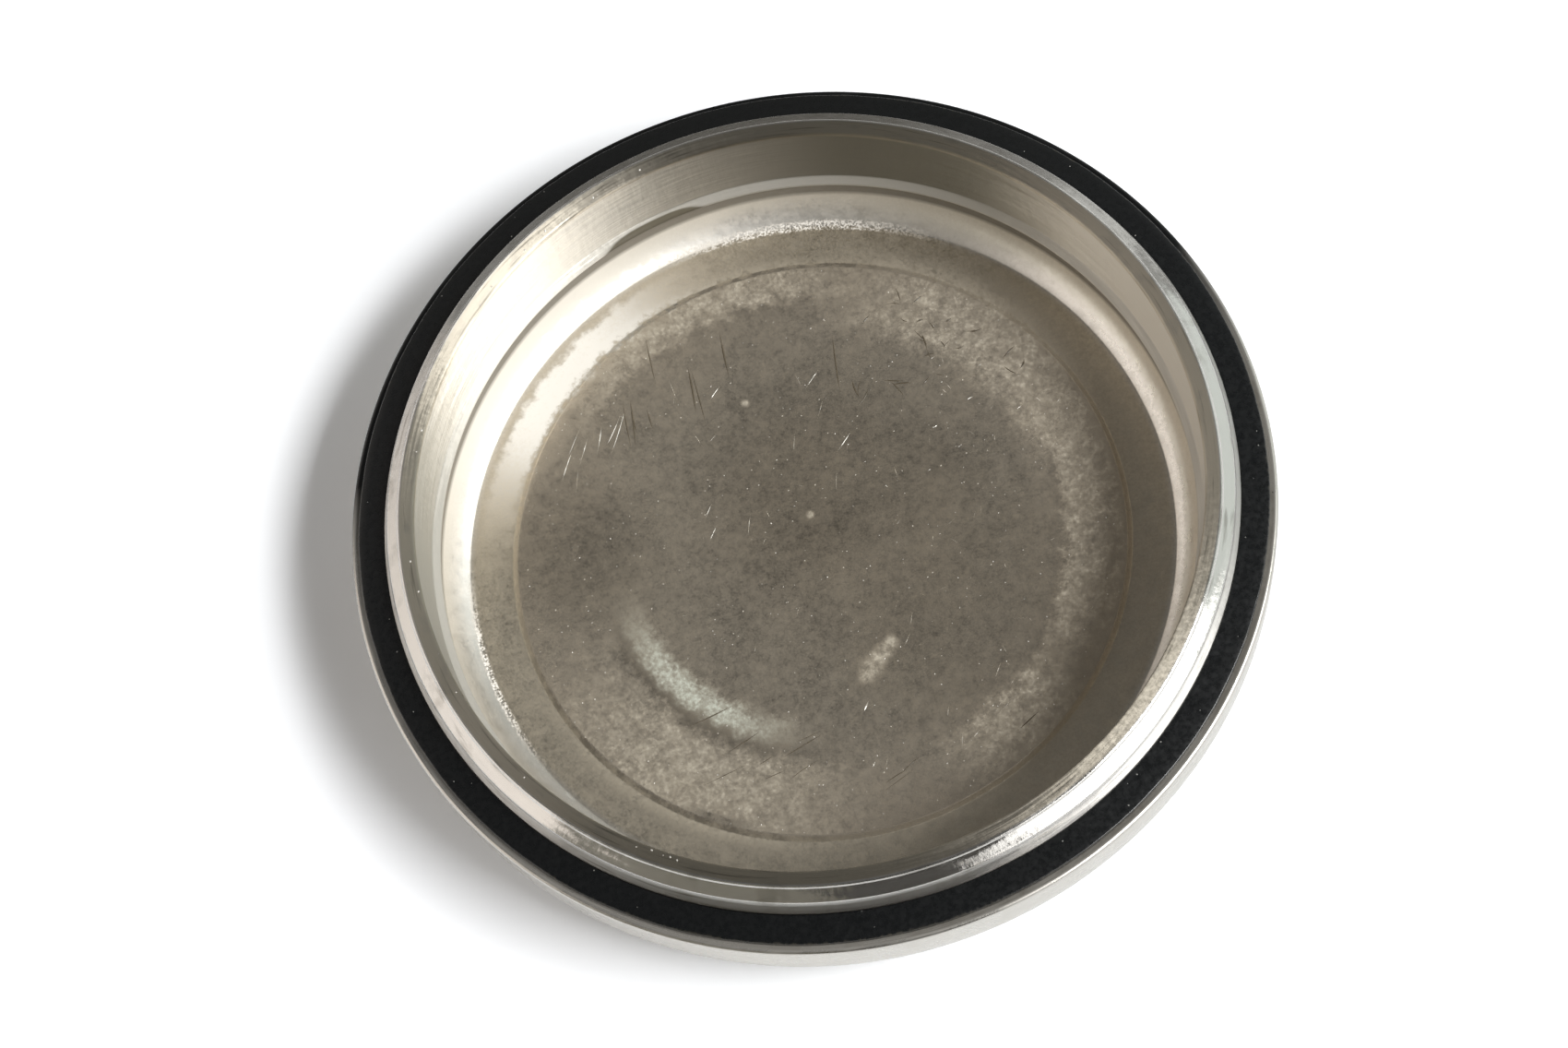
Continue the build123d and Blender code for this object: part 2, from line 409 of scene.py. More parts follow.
bowl = {"sheet": 0.5, "coveWall": 30.2, "coveWidth": 1.95, "coveHeight": 2.45, "coveBelly": 0.69, "cove": 3.6,
        "step": 4.95, "wall": 30.98, "steps": 360, "waveDepth": 0.0, "waves": 3.0, "seed": 5.0,
        "film": "#786a54", "scuff": "#cbc3b2", "smear": "#cdd0c2", "frostAndPaintedLight": "#f6f2ea",
        "crease": "#241e16", "creaseShare": 0.85, "shade": "#4d4232", "shadeShare": 0.24,
        "underFootDark": "#564e41", "underFootDarkShare": 0.75, "underFootDarkDown": 1.85,
        "tinByRadius": [(0, "#c4b9a7"), (15, "#c9bfae"), (24.4, "#cdc2b1"), (24.8, "#dcd2bf"), (27.8, "#dcd2bf"),
                        (28.5, "#f0ece4"), (31, "#f0ece4")],
        "filmByRadius": [(0, 0.2), (24.3, 0.22), (24.7, 0.18), (27.6, 0.14), (28.4, 0.03), (29.4, 0.06),
                         (30.0, 0.3), (31, 0.3)],
        "roughByRadius": [(0, 0.33), (24.3, 0.34), (24.7, 0.37), (28.3, 0.37), (29.0, 0.45), (30.0, 0.56), (31, 0.56)],
        "patches": {
            "frostAndPaintedLight": [(28.0, 28.5, 0.25, 80, 32), (28.05, 28.35, 0.2, 186, 22)],
            "scuffs": [(20.0, 24.4, 2.6, 36, 50), (20.2, 24.0, 1.2, 352, 62), (19.4, 24.6, 1.6, 227, 48),
                       (20.5, 24.0, 2.0, 300, 24), (22.4, 24.6, 1.4, 100, 50)],
            "smear": [(15.7, 16.5, 1.3, 217, 44)],
            "shade": [(17.3, 17.7, 0.7, 214, 44), (28.4, 31.0, 0.4, 200, 30)],
            # painted highlight: white film on the upper cove where the window's highlight spreads
            "paintedHighlight": [(29.5, 31.2, 0.6, 130, 52)],
            # rougher annulus, with a little white film painted where light bounced off the wall falls
            "matteAndPaintedLight": [(25.2, 28.3, 0.6, 124, 50)],
            "glow": [(25.2, 27.0, 1.1, 130, 38)],
            "gloss": [(28.8, 31.6, 0.5, -2, 70)],
            "crease": [(24.35, 24.7, 0.15, 82, 52), (24.35, 24.75, 0.15, 222, 84), (23.9, 24.6, 0.3, 236, 9)]},
        "spots": {
            "shade": [(11, -9, 17), (2, 5, 14), (9, 2, 10), (-19, 5, 9)],
            "pale": [(0.6, -11.9, 1.1), (1.1, -11.4, 1.4), (1.8, -10.9, 1.2), (2.5, -10.4, 1.1), (3.1, -9.9, 0.9),
                     (-0.1, 2.5, 0.5), (-2.6, 13.5, 0.5)]}}


def bowlFloor():
    # height of the floor beside the raised panel and on it, and the radius where the panel's slope starts
    floor = pan["sheet"] + bowl["sheet"]
    return floor, floor + pan["panelRise"], pan["panel"] + 0.3


def dulledTinplate():
    # tinplate, pressed, then dulled by a wiped film of wax: brown-grey satin on the floor, bright at the cove
    material, add, spot, onRing, onSkin = newMaterial("dulledTinplate")
    # noise from clouds of 6 mm down to specks: how many to the mm, detail and roughness
    noises = ((0.16, 5.0, 0.6), (0.75, 5.0, 0.65), (2.6, 4.0, 0.6), (6.0, 3.0, 0.6))
    blotch, mottle, grain, fine = [
        add("TexNoise", {"Vector": spot["Place"], "Scale": perMm, "Detail": detail, "Roughness": rough})
        for perMm, detail, rough in noises]
    last = bowl["tinByRadius"][-1][0]
    share = add("Math", {0: spot["Radius"], 1: last}, operation="DIVIDE")
    cleanTin, filmZone, roughZone = [
        add("ValToRGB", {0: share}, stops=[(radius / last, value) for radius, value in bowl[zone]])
        for zone in ("tinByRadius", "filmByRadius", "roughByRadius")]

    # where the marks lie: most have ragged edges, the crease and the frost keep close to their circles
    wander = add("Math", {0: grain, 1: 0.9, 2: spot["Radius"]}, **timesPlus)
    wanderMore = add("Math", {0: mottle, 1: 2.4, 2: wander}, **timesPlus)
    ragged = add("Math", {0: wanderMore, 1: 1.65}, operation="SUBTRACT")
    sway = add("Math", {0: grain, 1: 0.3, 2: spot["Radius"]}, **timesPlus)
    close = add("Math", {0: sway, 1: 0.15}, operation="SUBTRACT")
    masks = {}
    for name, patches in bowl["patches"].items():
        radius = close if name in ("crease", "frostAndPaintedLight") else ragged
        for values in patches:
            stretch = dict(zip(("Low", "High", "Soft", "Azimuth", "Spread"), values))
            patch = add("Group", {**onRing, "Radius": radius, **stretch}, node_tree=patchGroup)
            masks[name] = add("Math", {0: masks.get(name, 0.0), 1: patch}, operation="MAXIMUM")
    panelTop = bowlFloor()[1]
    for name, spots in bowl["spots"].items():
        for x, y, size in spots:
            off = add("VectorMath", {0: spot["Place"], 1: (x, y, panelTop)}, output="Value", operation="DISTANCE")
            near = add("MapRange", {"Value": off, "From Min": size, "From Max": size * 0.25}, **smooth)
            masks[name] = add("Math", {0: masks.get(name, 0.0), 1: near}, operation="MAXIMUM")

    # how strong each mark is
    feather = add("Group", {**onSkin, "Lines": 0.2, "Length": 0.3}, node_tree=linesGroup)
    feathers = add("MapRange", {"Value": feather, "From Min": 0.3, "From Max": 0.65, "To Min": 0.45})
    speckle = add("MapRange", {"Value": fine, "From Min": 0.42, "From Max": 0.58}, **smooth)
    frosted = add("Math", {0: masks["frostAndPaintedLight"], 1: speckle}, **times)
    # white film painted for the cove's highlight and for the pool of light bounced off the wall onto the annulus
    # (glow), joined below to the real frosted band
    paintedLight = add("Math", {0: masks["paintedHighlight"], 1: 0.6}, **times)
    for name, amount in (("matteAndPaintedLight", 0.15), ("glow", 0.8)):
        paintedLight = add("Math", {0: masks[name], 1: amount, 2: paintedLight}, **timesPlus)
    frostAndPaintedLight = add("Math", {0: frosted, 1: paintedLight}, operation="MAXIMUM")
    patchGrain = add("Math", {0: grain, 1: 0.5, 2: mottle}, **timesPlus)
    patchy = add("MapRange", {"Value": patchGrain, "From Min": 0.45, "From Max": 1.05, "To Min": 0.3}, **smooth)
    smear = add("Math", {0: masks["smear"], 1: feathers}, **times)
    feathered = add("Math", {0: masks["scuffs"], 1: feathers}, **times)
    wornThrough = add("Math", {0: masks["pale"], 1: feathered}, operation="MAXIMUM")
    pale = add("Math", {0: wornThrough, 1: patchy}, **times)
    broken = add("MapRange", {"Value": mottle, "From Min": 0.32, "From Max": 0.6, "To Min": 0.6}, **smooth)
    creased = add("Math", {0: masks["crease"], 1: broken}, **times)
    crease = add("Math", {0: creased, 1: bowl["creaseShare"]}, **times)
    shaded = add("Math", {0: masks["shade"], 1: bowl["shadeShare"]}, **times)
    # the bowl's wall is darker from a little below the step upwards, under the collar's foot
    underFootDarkEnd = bowl["step"] - bowl["underFootDarkDown"]
    darkUnderFoot = add("MapRange", {"Value": spot["Height"], "From Min": underFootDarkEnd, "From Max": underFootDarkEnd + 0.4,
                "To Max": bowl["underFootDarkShare"]})

    # how much of the tin the film hides: clouds and specks, then the marks
    cloudy = add("Math", {0: mottle, 1: 0.22, 2: blotch}, **timesPlus)
    clouds = add("MapRange", {"Value": cloudy, "From Min": 0.4, "From Max": 0.8, "To Min": 0.55, "To Max": 1.5})
    film = add("Math", {0: filmZone, 1: clouds}, **times)
    for more in (pale, smear):
        film = add("Math", {0: more, 1: 0.8, 2: film}, **timesPlus)
    twoGrains = add("Math", {0: fine, 1: 0.7, 2: grain}, **timesPlus)
    specks = add("MapRange", {"Value": twoGrains, "From Min": 0.6, "From Max": 1.1, "To Min": -0.16, "To Max": 0.16})
    offSmear = add("Math", {0: smear, 1: -0.8, 2: 1.0}, **timesPlus)
    speckled = add("Math", {0: specks, 1: offSmear, 2: film}, use_clamp=True, **timesPlus)
    frostedFilm = add("Math", {0: frostAndPaintedLight, 1: 0.9, 2: speckled}, **timesPlus)
    creasedFilm = add("Math", {0: frostedFilm, 1: crease}, operation="MAXIMUM")
    filmShare = add("Math", {0: creasedFilm, 1: 1.0}, operation="MINIMUM")

    inCove = add("MapRange", {"Value": spot["Radius"], "From Min": 28.4, "From Max": 29.0})
    lighter = add("Math", {0: pale, 1: inCove}, operation="MAXIMUM")
    filmColour = linear(bowl["film"])
    for over, tone in ((lighter, "scuff"), (smear, "smear"), (frostAndPaintedLight, "frostAndPaintedLight"), (crease, "crease")):
        filmColour = add("Mix", {0: over, 6: filmColour, 7: linear(bowl[tone])}, **blend)
    tin = add("Mix", {0: shaded, 6: cleanTin, 7: linear(bowl["shade"])}, **blend)
    filmed = add("Mix", {0: filmShare, 6: tin, 7: filmColour}, **blend)
    colour = add("Mix", {0: darkUnderFoot, 6: filmed, 7: linear(bowl["underFootDark"])}, **blend)
    coated = add("Math", {0: filmShare, 1: darkUnderFoot}, operation="MAXIMUM")
    metal = add("Math", {0: 1.0, 1: coated}, operation="SUBTRACT")

    grainRough = add("Math", {0: mottle, 1: 0.3, 2: roughZone}, **timesPlus)
    rough = add("Math", {0: grainRough, 1: 0.15}, operation="SUBTRACT")
    for mark, more in ((masks["matteAndPaintedLight"], 0.14), (masks["gloss"], -0.18), (frostAndPaintedLight, 0.3)):
        rough = add("Math", {0: mark, 1: more, 2: rough}, **timesPlus)
    ripple = add("TexNoise", {"Vector": spot["Place"], "Scale": 0.5, "Detail": 2.0})
    grit = add("Bump", {"Height": mottle, "Distance": 0.015 * mm, "Strength": 1.0})
    dents = add("Bump", {"Height": ripple, "Distance": 0.03 * mm, "Strength": 1.0, "Normal": grit})
    shader = add("BsdfPrincipled", {"Base Color": colour, "Metallic": metal, "Roughness": rough, "Normal": dents})
    add("OutputMaterial", {"Surface": shader})
    return material


def makeBowl():
    radius, low, top = reach("bowl")
    wall, coveWall = bowl["wall"], bowl["coveWall"]
    floor, panelTop, panelEdge = bowlFloor()
    head, foot = Vector((coveWall, floor + bowl["coveHeight"])), Vector((coveWall - bowl["coveWidth"], floor))
    belly = (head + foot) / 2 + leftOf(head, foot) * bowl["coveBelly"]
    corners = [(radius, top), (wall, top), (wall, bowl["step"]), (coveWall, bowl["step"]), head, belly, foot,
               (panelEdge + pan["panelSlope"], floor), (panelEdge, panelTop), (0, panelTop)]
    radii = [0.3, 0.3, 0.1, 0.3, bowl["cove"], 0.35, 0.3, 0.3]
    section = sheetSection([Vector(c) for c in corners], radii, bowl["sheet"], 1)
    return turnPiece("tinBowl", section, dulledTinplate(), bowl)


# Neck collar, the folded channel that the lid slides on. A darkening on its outer leg is inset, azimuth and spread.

neck = {"sheet": 0.5, "land": 1.0, "ridgeInset": 0.42, "ridgeHeight": 2.2, "ridgeRadius": 0.25, "mouth": 30.45,
        "lipWidth": 1.2, "lipHeight": 3.05, "beadWidth": 1.4, "beadFoot": 2.79, "crownWidth": 1.27,
        "crownHeight": 3.03, "crownRadius": 0.2, "lipFall": 0.2, "edge": 0.22,
        "foot": 0.55, "footThickness": 0.3, "footHeight": 0.85, "footNose": 0.16,
        "steps": 480, "waveDepth": 0.04, "waves": 2.0, "seed": 8.0,
        "tin": "#ece9e3", "lipTin": "#d0c8b8", "soiled": "#b5b0a6", "grooves": "#827c70",
        "legDarkening": [(2.45, 256, 46), (1.4, 86, 72), (1.4, 84, 42)], "legDarkShare": 0.6,
        "lipRubArc": {"Azimuth": 311, "Spread": 40}, "lipRubShare": 0.75, "slope": 1.15,
        "wallTin": "#e2ded5", "darkening": "#5d5a4a", "paintedWallShadeArc": {"Azimuth": 60, "Spread": 32},
        "wallFilm": "#c9c5bb", "film": 0.08, "footFilm": 0.45,
        "footShadeArc": {"Azimuth": 101, "Spread": 12}, "footShadeColour": "#57503f",
        "roughByRadius": [(30.4, 0.46), (31.5, 0.49), (31.65, 0.21), (32.72, 0.2), (32.85, 0.42), (33.2, 0.42)],
        "wallRough": 0.46, "footRough": 0.5, "stretch": 0.96, "wander": 0.1}


def rubbedTin():
    # tinplate, rolled and rubbed bright by the lid: fine lines round it draw each highlight out up the profile
    material, add, spot, onRing, onSkin = newMaterial("rubbedTinplate")
    streak, broad, flutes = [
        add("Group", {**onSkin, "Lines": lines, "Length": length}, node_tree=linesGroup)
        for lines, length in ((5.0, 5.0), (0.8, 2.5), (0.3, 0.7))]
    top, mouth = reach("neck_collar")[2], neck["mouth"]
    slopeEnd, foot, footUp = mouth + neck["slope"], mouth - neck["foot"], bowl["step"] + neck["footHeight"]

    # lip and outer leg: soiled, grooved, darker on the leg, on the near side as painted reflection of the dark ring and
    # room, and rubbed grey on the lip's inner slope
    onLip = add("MapRange", {"Value": spot["Radius"], "From Min": slopeEnd, "From Max": slopeEnd - 0.1})
    soiling = add("MapRange", {"Value": broad, "From Min": 0.56, "From Max": 0.85})
    groove = add("MapRange", {"Value": streak, "From Min": 0.58, "From Max": 0.72, "To Max": 0.7})
    layers = [(onLip, "lipTin"), (soiling, "soiled"), (groove, "grooves")]
    for inset, azimuth, spread in neck["legDarkening"]:
        onLeg = add("Group", {**onRing, "Low": mouth + inset, "High": mouth + 3, "Soft": 0.1, "Azimuth": azimuth,
                    "Spread": spread}, node_tree=patchGroup)
        darkening = add("Math", {0: onLeg, 1: neck["legDarkShare"]}, **times)
        layers.append((darkening, "grooves"))
    onSlope = add("Group", {**onRing, "Low": mouth, "High": slopeEnd, "Soft": 0.15, **neck["lipRubArc"]},
                  node_tree=patchGroup)
    specks = add("TexNoise", {"Vector": spot["Place"], "Scale": 2.4, "Detail": 3.0, "Roughness": 0.7})
    speckled = add("MapRange", {"Value": specks, "From Min": 0.35, "From Max": 0.65, "To Min": 0.1,
                   "To Max": neck["lipRubShare"]})
    slopeShare = add("Math", {0: onSlope, 1: speckled}, **times)
    rubbed = linear(neck["tin"])
    for over, tone in layers + [(slopeShare, "grooves")]:
        rubbed = add("Mix", {0: over, 6: rubbed, 7: linear(neck[tone])}, **blend)

    # inner wall and foot, under a thin film, with painted shade on one side of the wall, where it mirrors the dark
    # floor, and a patch of painted shade on the foot
    below = add("MapRange", {"Value": spot["Height"], "From Min": top - 0.35, "From Max": top - 0.6})
    within = add("MapRange", {"Value": spot["Radius"], "From Min": mouth + 0.2, "From Max": mouth + 0.05})
    wall = add("Math", {0: below, 1: within}, **times)
    onFoot = add("MapRange", {"Value": spot["Height"], "From Min": footUp + 0.05, "From Max": footUp - 0.1})
    wallShaded = add("Group", {**onRing, "Low": mouth - 1, "High": mouth + 0.2, "Soft": 0.1, **neck["paintedWallShadeArc"]},
                  node_tree=patchGroup)
    offFoot = add("Math", {0: onFoot, 1: -0.6, 2: 0.6}, **timesPlus)
    wallShadeShare = add("Math", {0: wallShaded, 1: offFoot}, **times)
    wallTin = add("Mix", {0: wallShadeShare, 6: linear(neck["wallTin"]), 7: linear(neck["darkening"])}, **blend)
    walled = add("Mix", {0: wall, 6: rubbed, 7: wallTin}, **blend)
    # painted shade on the foot, in a short arc
    footShade = add("Group", {**onRing, "Low": foot, "High": mouth, "Soft": 0.4, **neck["footShadeArc"]}, node_tree=patchGroup)
    lowDown = add("MapRange", {"Value": spot["Height"], "From Min": footUp, "From Max": bowl["step"] + 0.2})
    lens = add("Math", {0: footShade, 1: lowDown}, **times)
    inFootShade = add("MapRange", {"Value": lens, "From Min": 0.15, "From Max": 0.4}, **smooth)
    filmColour = add("Mix", {0: inFootShade, 6: linear(neck["wallFilm"]), 7: linear(neck["footShadeColour"])}, **blend)
    filmHere = add("Mix", {0: onFoot, 2: neck["film"], 3: neck["footFilm"]}, data_type="FLOAT")
    film = add("Math", {0: wall, 1: filmHere}, **times)
    filmShare = add("Math", {0: inFootShade, 1: 0.5, 2: film}, **timesPlus)
    colour = add("Mix", {0: filmShare, 6: walled, 7: filmColour}, **blend)
    metal = add("Math", {0: 1.0, 1: filmShare}, operation="SUBTRACT")

    first, last = neck["roughByRadius"][0][0], neck["roughByRadius"][-1][0]
    share = add("MapRange", {"Value": spot["Radius"], "From Min": first, "From Max": last})
    roughZone = add("ValToRGB", {0: share},
                    stops=[((radius - first) / (last - first), value) for radius, value in neck["roughByRadius"]])
    wallRough = add("Mix", {0: onFoot, 2: neck["wallRough"], 3: neck["footRough"]}, data_type="FLOAT")
    byPlace = add("Mix", {0: wall, 2: roughZone, 3: wallRough}, data_type="FLOAT")
    wear = add("MapRange", {"Value": streak, "From Min": 0.3, "From Max": 0.7, "To Min": 0.8, "To Max": 1.2})
    rough = add("Math", {0: byPlace, 1: wear}, **times)

    # lines, flutes and nicks, then a small swing of the normal along the lines
    nicks = add("TexNoise", {"Vector": spot["Place"], "Scale": 1.6, "Detail": 4.0, "Roughness": 0.6})
    normal = add("Bump", {"Height": streak, "Distance": 0.006 * mm, "Strength": 1.0})
    for height, depth in ((flutes, 0.02), (nicks, 0.012)):
        normal = add("Bump", {"Height": height, "Distance": depth * mm, "Strength": 1.0, "Normal": normal})
    along = add("VectorMath", {0: (0, 0, 1), 1: spot["Place"]}, operation="CROSS_PRODUCT")
    around = add("VectorMath", {0: along}, operation="NORMALIZE")
    swing = add("MapRange", {"Value": streak, "From Min": 0.2, "From Max": 0.8, "To Min": -neck["wander"],
                "To Max": neck["wander"]})
    aside = add("VectorMath", {0: around, 3: swing}, operation="SCALE")
    swung = add("VectorMath", {0: normal, 1: aside}, operation="ADD")
    unit = add("VectorMath", {0: swung}, operation="NORMALIZE")
    tangent = add("Tangent", direction_type="RADIAL", axis="Z")
    shader = add("BsdfPrincipled", {"Base Color": colour, "Metallic": metal, "Roughness": rough, "Normal": unit,
                 "Anisotropic": neck["stretch"], "Anisotropic Rotation": 0.25, "Tangent": tangent})
    add("OutputMaterial", {"Surface": shader})
    return material


def makeNeck():
    radius, low, top = reach("neck_collar")
    base, mouth, foot = reach("pan")[2], neck["mouth"], neck["mouth"] - neck["foot"]
    ridge = (radius - neck["ridgeInset"], base + neck["ridgeHeight"])
    edge = (mouth, base + neck["lipHeight"] - neck["lipFall"])
    start = [(radius, base), (radius, base + neck["land"]), ridge]
    bead = [(mouth + neck["beadWidth"], base + neck["beadFoot"]),
            (mouth + neck["crownWidth"], base + neck["crownHeight"])]
    plain = [(mouth + neck["lipWidth"], base + neck["lipHeight"])]
    outside = [Vector(c) for c in start + bead + [edge, (mouth, low)]]
    inside = offsetLine([Vector(c) for c in start + plain + [edge, (mouth, low)]], neck["sheet"])
    outer = softLine(outside, [0.4, neck["ridgeRadius"], 0.06, neck["crownRadius"], neck["edge"]])
    hem = [(mouth, low + neck["footHeight"]), (foot, low + neck["footThickness"]), (foot, low), (mouth, low)]
    hemLine = softLine([Vector(c) for c in hem], [neck["footNose"], 0.12])
    section = denser(outer[:-1] + hemLine[:-1], 1) + denser([outside[-1]] + inside[::-1], 1)
    return turnPiece("tinNeck", section, rubbedTin(), neck,
                     lambda r, z: 1.0 if z > base + 1 and r > mouth + 0.3 else 0.0)


# Seal ring, the black band that the lid's rim comes down on

ring = {"edge": 0.45, "edgeRadius": 0.12, "gap": 0.05, "steps": 720, "waveDepth": 0.22, "waves": 9.0, "seed": 11.0,
        "black": "#080a0b", "wax": "#4a453a", "waxShare": 0.8}


def blackRubber():
    # black rubber, moulded smooth and wiped with wax: deep black with a soft gloss, browned along its outer edge
    material, add, spot, onRing, onSkin = newMaterial("blackRubber")
    grit = add("TexNoise", {"Vector": spot["Place"], "Scale": 2.2, "Detail": 5.0, "Roughness": 0.65})
    outer = reach("seal_ring")[0]
    wander = add("Math", {0: grit, 1: 0.7, 2: spot["Radius"]}, **timesPlus)
    brown = add("MapRange", {"Value": wander, "From Min": outer + 0.15, "From Max": outer + 0.4,
                "To Max": ring["waxShare"]})
    colour = add("Mix", {0: brown, 6: linear(ring["black"]), 7: linear(ring["wax"])}, **blend)
    rough = add("MapRange", {"Value": grit, "From Min": 0.3, "From Max": 0.7, "To Min": 0.2, "To Max": 0.38})
    pitted = add("Bump", {"Height": grit, "Distance": 0.008 * mm, "Strength": 1.0})
    shader = add("BsdfPrincipled", {"Base Color": colour, "Roughness": rough, "Normal": pitted, "Coat Weight": 0.3,
                 "Coat Roughness": 0.12})
    add("OutputMaterial", {"Surface": shader})
    return material


def makeRing():
    outer, low, top = reach("seal_ring")
    inner = reach("neck_collar")[0] + ring["gap"]
    corners = [(inner, low), (outer, low), (outer, low + ring["edge"]), (inner, top), (inner, low)]
    section = denser(softLine([Vector(c) for c in corners], [0.03, ring["edgeRadius"], 0.05]), 0.4)
    return turnPiece("blackRing", section[:-1], blackRubber(), ring, lambda r, z: 1.0 if r > outer - 0.3 else 0.0)


pieces = {"pan": makePan(), "bowl": makeBowl(), "neck_collar": makeNeck(), "seal_ring": makeRing()}
for node, piece in pieces.items():
    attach(piece, "root")
    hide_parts(node)
print("pieces turned:", len(pieces))


# Dust, crumbs of wax and burrs. The finish is a name, colour, metallic and roughness. Sizes and the profile that
# the bits lie on are in mm, the arc in degrees.

strewn = {
    "ringDust": {"finish": ("dust", "#8d8c88", 0.0, 0.8),  # lint: matt pale grey
                 "slot": "seal_black", "squash": 0.4, "perCm2": 8, "size": (0.05, 0.14),
                 "profile": [(33.3, 10.69), (35.3, 10.43)], "arc": (0, 360), "seed": 4},
    "floorDust": {"finish": ("floorDust", "#cfc8bb", 0.0, 0.6),  # dried crumbs: pale and dull
                  "slot": "bowl_metal", "squash": 0.3, "perCm2": 14, "size": (0.05, 0.16),
                  "profile": [(0.5, 1.35), (24.3, 1.35)], "arc": (0, 360), "seed": 7},
    "floorGlints": {"finish": ("tinBurr", "#f1eee7", 0.6, 0.45),  # tin, raised by nicks: bright points
                    "slot": "bowl_metal", "squash": 0.4, "perCm2": 20, "size": (0.04, 0.12),
                    "profile": [(3, 1.35), (24.3, 1.35)], "arc": (0, 360), "seed": 9},
    "shoulderWax": {"finish": ("driedWax", "#2a251e", 0.0, 0.5),  # wax, dried hard: nearly black, a little gloss
                    "slot": "pan_metal", "squash": 0.35, "perCm2": 22, "size": (0.06, 0.2),
                    "profile": [(35.5, 9.95), (35.7, 9.95)], "arc": (200, 400), "seed": 12},
    "lipBurrs": {"finish": ("lipBurr", "#f1eee7", 0.5, 0.4),  # tin, torn up by the lid: short glints
                 "slot": "neck_metal", "squash": 0.35, "perCm2": 110, "size": (0.06, 0.2),
                 "profile": [(30.68, 12.84), (31.0, 12.9)], "arc": (96, 238), "seed": 15}}


def lump(name, squash, jitter, seed):
    # a crumb one unit across, flattened, with its corners knocked about
    rnd = random.Random(seed)
    mesh = bpy.data.meshes.new(name)
    work = bmesh.new()
    bmesh.ops.create_icosphere(work, subdivisions=1, radius=0.5)
    for vert in work.verts:
        vert.co = vert.co * (1 + jitter * (rnd.random() - 0.5))
        vert.co.z = vert.co.z * squash
    work.to_mesh(mesh)
    work.free()
    return newObject(name, mesh)


def strew(name, values):
    shape = lump(name + "Shape", values["squash"], 0.7, values["seed"])
    surface = turnedPatch(name + "Surface", values["profile"], *values["arc"])
    smallest, largest = values["size"]
    perSquareMetre = values["perCm2"] * 1e4
    piece = runTree(surface, name, strewing,
                    {"Shape": shape, "Per Area": perSquareMetre, "Seed": values["seed"], "Smallest": smallest * mm,
                     "Largest": largest * mm, "Material": plainMaterial(*values["finish"])})
    bpy.data.objects.remove(shape)
    return piece


# Scratches in groups: centre and spread in mm, heading and its scatter in degrees, lengths and width in mm,
# bend in degrees and how many

scratches = {
    "darkStrokes": {"finish": ("darkStrokes", "#5d5445", 0.0, 0.3),  # grime in scores: thin dark lines
        "slot": "bowl_metal", "seed": 31, "groups": [
        ((-3.5, 17.0), (9.0, 3.0), 86, 5, (1.5, 5.5), 0.2, 6, 9),
        ((13.0, 14.5), (7.0, 5.0), 60, 90, (0.5, 1.8), 0.16, 60, 34),
        ((-12.0, -15.5), (7.0, 4.0), 14, 8, (1.5, 5.0), 0.13, 20, 10),
        ((5.0, -20.5), (7.0, 1.5), 20, 8, (1.5, 3.5), 0.13, 14, 5)]},
    "brightStrokes": {"finish": ("brightStrokes", "#f1eee7", 1.0, 0.3),  # tin bared by scores: thin glints
        "slot": "bowl_metal", "seed": 47, "groups": [
        ((-15.5, 14.0), (2.5, 4.0), 62, 16, (1.5, 4.5), 0.09, 12, 8),
        ((5.5, -17.5), (7.0, 3.5), 50, 25, (0.5, 2.2), 0.1, 8, 9),
        ((0.0, 10.0), (9.0, 7.0), 75, 40, (0.6, 2.6), 0.07, 12, 16),
        ((14.7, -17.3), (0.3, 0.3), 58, 3, (7.0, 8.0), 0.07, -14, 1),
        ((4.0, -4.0), (16.0, 14.0), 60, 80, (0.3, 1.2), 0.06, 10, 50),
        ((17.0, 11.0), (7.0, 7.0), 60, 90, (0.3, 0.9), 0.1, 40, 26)]}}
scratchLimit = 22.5  # radius within which they start, in mm


def scratchRidge(rnd, centre, heading, length, width, bend, verts, faces):
    # a low burr that tapers to both ends, three points across at each of nine stations
    base = len(verts)
    height = bowlFloor()[1]
    a = math.radians(heading)
    stations = 9
    place = Vector(centre) - Vector((math.cos(a), math.sin(a))) * length / 2
    for i in range(stations):
        t = i / (stations - 1)
        turn = a + math.radians(bend) * (t - 0.5)
        halfWidth = width / 2 * max(math.sin(math.pi * t), 0.12) * rnd.uniform(0.75, 1.2)
        side = Vector((-math.sin(turn), math.cos(turn))) * halfWidth
        lift = 0.3 * width * max(math.sin(math.pi * t), 0.1)
        for offset, z in ((side, height - 0.01), (Vector((0, 0)), height + lift), (-side, height - 0.01)):
            verts.append(((place.x + offset.x) * mm, (place.y + offset.y) * mm, z * mm))
        place = place + Vector((math.cos(turn), math.sin(turn))) * length / (stations - 1)
    for i in range(stations - 1):
        for k in range(3):
            first, second = base + 3 * i + k, base + 3 * i + (k + 1) % 3
            faces.append((first, first + 3, second + 3, second))
    end = base + 3 * stations
    faces += [(base, base + 1, base + 2), (end - 1, end - 2, end - 3)]


